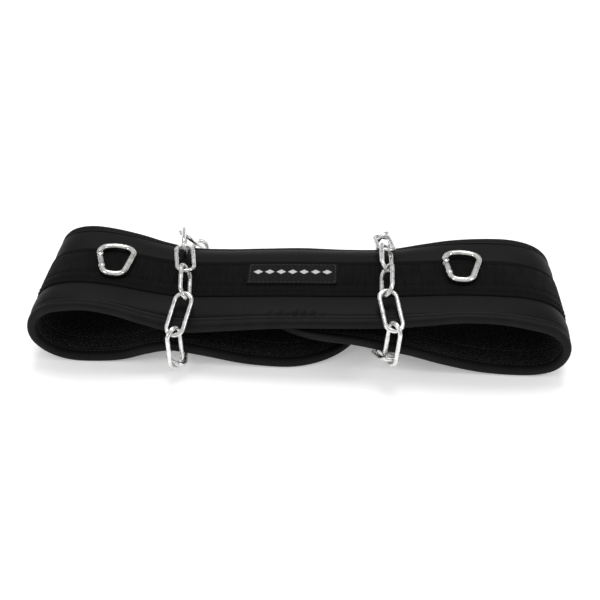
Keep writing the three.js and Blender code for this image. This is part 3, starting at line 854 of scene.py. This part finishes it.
def label_section(run):
    """Both short ends are folded under, so they stand a little higher and end in a round."""
    from_end = LABEL_LENGTH / 2 - abs(run - LABEL_MIDDLE)
    fold = 0.25 * math.exp(-((from_end - 3.0) / 2.2) ** 2) - 0.35 * math.exp(-(from_end / 0.7) ** 2)
    top = LABEL_IN + LABEL_THICK + fold
    half = LABEL_WIDTH / 2
    upper = [(half, top - 0.45), (half - 0.3, top - 0.12), (half - 1.2, top), (0, top + 0.1)]
    under = [(half - 0.2, LABEL_IN), (0.2 - half, LABEL_IN)]
    around = [(-y, out) for y, out in upper] + list(reversed(upper[:-1])) + under
    return [(y + LABEL_SHIFT, out) for y, out in around]


label_runs = [LABEL_MIDDLE + LABEL_LENGTH * (k / 60 - 0.5) for k in range(61)]
label = add_strip("woven_label", label_runs, label_section, damask)
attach(label, "belt")
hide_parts("label_patch")

# The label is sewn all round with a greyer, glossier polyester thread.
grey_thread, tree = new_material("polyester_thread_charcoal")
shader = add_node(
    tree, "ShaderNodeBsdfPrincipled",
    {"Base Color": linear("#3A3A3B"), "Roughness": 0.45, "IOR": 1.53, "Specular IOR Level": 0.3},
)
close_material(tree, shader)
label_half = LABEL_WIDTH / 2 - LABEL_SIDE_SEAM
for name, side in (("near_label_stitches", -1), ("far_label_stitches", 1)):
    seam_line = [(run, LABEL_SHIFT + side * label_half) for run in label_runs[1:-1]]
    add_stitches(name, seam_line, lambda run, y: LABEL_IN + LABEL_THICK, grey_thread)
for name, side in (("left_label_stitches", -1), ("right_label_stitches", 1)):
    run = LABEL_MIDDLE + side * (LABEL_LENGTH / 2 - LABEL_END_SEAM)
    seam_line = [(run, LABEL_SHIFT + label_half * k / 8) for k in range(-8, 9)]
    add_stitches(name, seam_line, lambda run, y: LABEL_IN + LABEL_THICK + 0.2, grey_thread)


# Chains: long-link steel chain of 4 mm wire, butt-welded at the middle of one side, with a thick
# bright zinc coat. Each chain is wrapped once round both layers and closed on itself, and its links
# pull each other a little askew.
LINK_WIRE = 4.0
LINK_LENGTH = 46.0
LINK_WIDTH = 20.0
LINK_COAT = 0.1
WELD_SWELL = 0.12
WELD_HALF = 1.6

zinc, tree = new_material("bright_zinc_plated_steel")
where = add_node(tree, "ShaderNodeTexCoord")
# The plating is blotched bright and dull a few millimetres apart, with tiny pits.
blotch = add_node(
    tree, "ShaderNodeTexNoise", {"Scale": 170.0, "Detail": 2.0, "Roughness": 0.5},
    {"Vector": where.outputs["Object"]},
)
tone = add_node(tree, "ShaderNodeValToRGB", links={"Fac": blotch.outputs["Fac"]})
tone.color_ramp.elements[0].position = 0.3
tone.color_ramp.elements[0].color = linear("#C3C5C4")
tone.color_ramp.elements[1].position = 0.62
tone.color_ramp.elements[1].color = linear("#F2F2F0")
rough = add_node(
    tree, "ShaderNodeMapRange", {"From Min": 0.3, "From Max": 0.7, "To Min": 0.2, "To Max": 0.34},
    {"Value": blotch.outputs["Fac"]},
)
dents = add_node(
    tree, "ShaderNodeTexNoise", {"Scale": 420.0, "Detail": 2.0}, {"Vector": where.outputs["Object"]}
)
dent_bump = add_node(
    tree, "ShaderNodeBump", {"Strength": 0.08, "Distance": 0.2 * MM}, {"Height": dents.outputs["Fac"]}
)
shader = add_node(
    tree, "ShaderNodeBsdfPrincipled", {"Metallic": 1.0},
    {
        "Base Color": tone.outputs["Color"], "Roughness": rough.outputs["Result"],
        "Normal": dent_bump.outputs["Normal"],
    },
)
close_material(tree, shader)

# Where each link meets the next on the way round, in mm, and its roll from flat in degrees.
CHAINS = {
    "left": [
        (-104, -41.5, 65, 7), (-111, -74, 47.5, -57), (-110.5, -76.5, 14, 19), (-114.5, -41, 5, -26),
        (-117, -6, 8, 28), (-113, 30.5, 6.5, -29), (-108.5, 67, 7, 35), (-109.5, 83.5, 34, -35),
        (-121, 65, 59.5, -88), (-115.5, 31, 68, -5), (-108.5, -5.5, 68.5, -64),
    ],
    "right": [
        (81, -40.5, 74.5, -8), (88, -74.5, 61.5, 55), (85.5, -78, 28.5, 2), (78.5, -46.5, 9.5, 64),
        (79.5, -10.5, 9.5, -27), (81, 26.5, 9, 43), (78, 63, 7.5, -28), (84.5, 84, 35.5, 44),
        (79.5, 65.5, 62.5, -6), (82.5, 33.5, 72, -52), (82, -4, 74.5, 56),
    ],
}


def wire_along(line, radius_at, sides, closed):
    """Wire along a flat line of (x, y) points in mm; radius_at(i) gives half its width and height."""
    count = len(line)
    points, faces = [], []
    for i, (x, y) in enumerate(line):
        before = line[i - 1] if closed else line[max(i - 1, 0)]
        after = line[(i + 1) % count] if closed else line[min(i + 1, count - 1)]
        length = math.dist(before, after)
        along = ((after[0] - before[0]) / length, (after[1] - before[1]) / length)
        wide, high = radius_at(i)
        for k in range(sides):
            turn = 2 * math.pi * k / sides
            side = wide * math.cos(turn)
            points.append(Vector((x - along[1] * side, y + along[0] * side, high * math.sin(turn))) * MM)
    for i in range(count if closed else count - 1):
        j = (i + 1) % count
        for k in range(sides):
            m = (k + 1) % sides
            faces.append((i * sides + k, i * sides + m, j * sides + m, j * sides + k))
    if not closed:
        last = (count - 1) * sides
        faces.append(tuple(reversed(range(sides))))
        faces.append(tuple(last + k for k in range(sides)))
    return points, faces


def link_line():
    """The middle line of a link's wire: two half rounds joined by straight sides."""
    radius = (LINK_WIDTH - LINK_WIRE) / 2
    reach = (LINK_LENGTH - LINK_WIRE) / 2 - radius
    line = []
    for end in (1, -1):
        for k in range(21):
            a = math.pi * k / 20
            line.append((end * radius * math.cos(a), end * (reach + radius * math.sin(a))))
        start = line[-1]
        for k in range(1, 12):
            line.append((start[0], start[1] - end * 2 * reach * k / 12))
    return line


LINK_LINE = link_line()
WELD_X = -(LINK_WIDTH - LINK_WIRE) / 2


def link_radius(i):
    """Half the wire's thickness, with its coat, swollen at the weld."""
    x, y = LINK_LINE[i]
    swell = WELD_SWELL * math.exp(-(y / WELD_HALF) ** 2) if abs(x - WELD_X) < 0.1 else 0.0
    radius = LINK_WIRE / 2 * (1 + swell) + LINK_COAT
    return radius, radius


LINK_SIDES = 16
link_points, link_faces = wire_along(LINK_LINE, link_radius, LINK_SIDES, True)
for side, meetings in CHAINS.items():
    for n, (x, y, z, roll) in enumerate(meetings):
        start = Vector((x, y, z))
        end = Vector(meetings[(n + 1) % len(meetings)][:3])
        along = (end - start).normalized()
        flat = (Vector((1, 0, 0)) - along * along.x).normalized()
        flat = Matrix.Rotation(math.radians(roll), 3, along) @ flat
        up = flat.cross(along)
        turn = Matrix((flat, along, up)).transposed()
        middle_point = (start + end) / 2 * MM
        points = [turn @ p + middle_point for p in link_points]
        link = add_object(f"{side}_chain_link_{n + 1:02d}", points, link_faces, zinc)
        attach(link, "belt")
        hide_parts(f"{side}_link_{n + 1:02d}")


# Carabiners: small sprung snap links of 6 mm wire, nickel plated, broad at the hinge end and narrow
# at the latch, lying flat on the webbing at each end of the loop. The gate swings on a rivet
# between two cheeks, and its nose closes on the frame's end.
HOOK_WIRE = 6.0
HOOK_LENGTH = 50.0
HOOK_BACK_WIDTH = 38.0
HOOK_FRONT_WIDTH = 28.0
HOOK_BACK_RADIUS = 10.0
HOOK_FRONT_RADIUS = 9.5
HOOK_BACK_BULGE = 1.0
GATE_GAP = 0.4
BAR = HOOK_WIRE / 2

nickel, tree = new_material("nickel_plated_steel")
where = add_node(tree, "ShaderNodeTexCoord")
blotch = add_node(
    tree, "ShaderNodeTexNoise", {"Scale": 120.0, "Detail": 2.0}, {"Vector": where.outputs["Object"]}
)
tone = add_node(tree, "ShaderNodeValToRGB", links={"Fac": blotch.outputs["Fac"]})
tone.color_ramp.elements[0].position = 0.3
tone.color_ramp.elements[0].color = linear("#BDBDBB")
tone.color_ramp.elements[1].position = 0.6
tone.color_ramp.elements[1].color = linear("#EDEDEA")
dent_bump = add_node(
    tree, "ShaderNodeBump", {"Strength": 0.15, "Distance": 0.25 * MM}, {"Height": blotch.outputs["Fac"]}
)
shader = add_node(
    tree, "ShaderNodeBsdfPrincipled", {"Metallic": 1.0, "Roughness": 0.2},
    {"Base Color": tone.outputs["Color"], "Normal": dent_bump.outputs["Normal"]},
)
close_material(tree, shader)

hook_half = (HOOK_LENGTH - HOOK_WIRE) / 2
back_half = (HOOK_BACK_WIDTH - HOOK_WIRE) / 2
front_half = (HOOK_FRONT_WIDTH - HOOK_WIRE) / 2
back_corner = (back_half - HOOK_BACK_RADIUS, hook_half - HOOK_BACK_BULGE - HOOK_BACK_RADIUS)
front_corner = (front_half - HOOK_FRONT_RADIUS, HOOK_FRONT_RADIUS - hook_half)
side_lean = math.atan2(
    back_corner[0] + HOOK_BACK_RADIUS - front_corner[0] - HOOK_FRONT_RADIUS, back_corner[1] - front_corner[1]
)


def arc(centre, radius, start, end, steps):
    """Points of a round bend, from one angle to another."""
    turns = [start + (end - start) * k / steps for k in range(steps + 1)]
    return [(centre[0] + radius * math.cos(a), centre[1] + radius * math.sin(a)) for a in turns]


def mirrored(line):
    """The same line on the hook's other side, run the other way."""
    return [(-x, y) for x, y in reversed(line)]


# The broad end's bends stop short of a quarter turn, and a low crown joins them.
BROAD_TURN = math.pi * 0.42
right_back = arc(back_corner, HOOK_BACK_RADIUS, -side_lean, BROAD_TURN, 14)
right_front = arc(front_corner, HOOK_FRONT_RADIUS, -math.pi / 2, -side_lean, 16)
shoulder = right_back[-1]
SHOULDER_SLOPE = 1 / math.tan(BROAD_TURN)
crown = []
for k in range(1, 10):
    t = k / 10
    rise = (
        (2 * t ** 3 - 3 * t ** 2 + 1) * shoulder[1] + (t ** 3 - 2 * t ** 2 + t) * shoulder[0] * SHOULDER_SLOPE
        + (3 * t ** 2 - 2 * t ** 3) * hook_half
    )
    crown.append((-shoulder[0] * (1 - t), rise))
frame_line = (
    list(reversed(mirrored(right_back))) + crown + [(0.0, hook_half)] + mirrored(crown)
    + list(reversed(right_back)) + list(reversed(right_front)) + list(reversed(mirrored(right_front)))[1:]
)
frame_end = Vector(frame_line[0])
latch_point = Vector(frame_line[-1])
gate_along = (latch_point - frame_end).normalized()
hinge_point = frame_end + gate_along * (BAR + GATE_GAP)
gate_length = (latch_point - hinge_point).length


def frame_radius(i):
    """The wire thickens a little in the bend at the narrow end and draws down to a nose at the latch."""
    x, y = frame_line[i]
    bend = 0.12 * math.exp(-((x - front_half + 1.2) ** 2 + (y - front_corner[1] + 1.5) ** 2) / 6)
    nose = 0.85 if i == len(frame_line) - 1 else 1.0
    radius = BAR * (1 + bend) * nose
    return radius, radius


def gate_radius(i):
    """Half the gate's width and height at one of its steps."""
    wide, high = GATE_STEPS[i][1:]
    return BAR * wide, BAR * high


# Along the gate from its round end at the hinge to its nose: place from the hinge in mm, and how
# wide and how high the bar is there as shares of the wire's half thickness.
GATE_STEPS = [
    (2.8, 0.35, 0.3), (2.5, 0.62, 0.42), (1.7, 0.85, 0.5), (0.0, 0.96, 0.52), (-3.0, 0.96, 0.56),
    (-3.7, 0.98, 0.96), (-5.4, 0.98, 0.98), (-gate_length * 0.6, 0.98, 0.98),
    (-gate_length + 5.6, 0.98, 0.98), (-gate_length + 5.1, 1.1, 1.02), (-gate_length + 2.6, 1.12, 1.02),
    (-gate_length + 2.1, 0.98, 0.98), (-gate_length + 1.3, 0.98, 0.98), (-gate_length + 0.9, 0.88, 0.88),
]
HOOK_SIDES = 20
gate_line = [tuple(hinge_point - gate_along * place) for place, wide, high in GATE_STEPS]
frame_points, frame_faces = wire_along(frame_line, frame_radius, HOOK_SIDES, False)
gate_points, gate_faces = wire_along(gate_line, gate_radius, HOOK_SIDES, False)


def disc(centre, radius, low, high, sides=20, bevel=0.25):
    """A round plate in the hook's plane between two heights, its rims eased."""
    rings = [(radius - bevel, low), (radius, low + bevel), (radius, high - bevel), (radius - bevel, high)]
    points, faces = [], []
    for r, z in rings:
        for k in range(sides):
            turn = 2 * math.pi * k / sides
            points.append(Vector((centre[0] + r * math.cos(turn), centre[1] + r * math.sin(turn), z)) * MM)
    for i in range(len(rings) - 1):
        for k in range(sides):
            m = (k + 1) % sides
            faces.append((i * sides + k, i * sides + m, (i + 1) * sides + m, (i + 1) * sides + k))
    faces.append(tuple(reversed(range(sides))))
    faces.append(tuple((len(rings) - 1) * sides + k for k in range(sides)))
    return points, faces


def joined(pieces):
    """Several bodies' points and faces as one list of each."""
    points, faces = [], []
    for more_points, more_faces in pieces:
        base = len(points)
        points.extend(more_points)
        faces.extend(tuple(base + i for i in face) for face in more_faces)
    return points, faces


# The frame's end is split to two cheeks, one over and one under the gate, with the rivet through.
# A second round plate behind each cheek joins it to the frame.
CHEEK_IN = 1.85
CHEEK_RADIUS = BAR * 0.96
WEB_RADIUS = BAR * 0.9
WEB_BACK = 1.6
WEB_INSET = 0.02
RIVET_RADIUS = 1.15
web_middle = hinge_point - gate_along * WEB_BACK
cheeks = [
    disc(hinge_point, CHEEK_RADIUS, CHEEK_IN, BAR),
    disc(hinge_point, CHEEK_RADIUS, -BAR, -CHEEK_IN),
    disc(web_middle, WEB_RADIUS, CHEEK_IN + WEB_INSET, BAR - WEB_INSET),
    disc(web_middle, WEB_RADIUS, WEB_INSET - BAR, -CHEEK_IN - WEB_INSET),
]
rivet = disc(hinge_point, RIVET_RADIUS, -BAR - 0.15, BAR + 0.25, 16, 0.15)
hook_body = joined([(frame_points, frame_faces), *cheeks, rivet])

# Where each carabiner lies on the webbing, in mm, and its turn, dip and tip in degrees.
HOOKS = [
    ("left", (-177.5, 3.5, 70.6), 6.0, 8.2, -0.2),
    ("right", (153.5, 9.0, 71.0), -6.0, -1.6, -0.4),
]
for side, place, turn, dip, tip in HOOKS:
    pose = (
        Matrix.Translation(Vector(place) * MM) @ Matrix.Rotation(math.radians(dip), 4, "Y")
        @ Matrix.Rotation(math.radians(tip), 4, "X") @ Matrix.Rotation(math.radians(turn), 4, "Z")
    )
    hook = add_object(f"{side}_snap_frame", [pose @ p for p in hook_body[0]], hook_body[1], nickel)
    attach(hook, "belt")
    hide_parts(f"{side}_carabiner")
    gate = add_object(f"{side}_snap_gate", [pose @ p for p in gate_points], gate_faces, nickel)
    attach(gate, f"{side}_gate_body")
    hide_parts(f"{side}_gate")
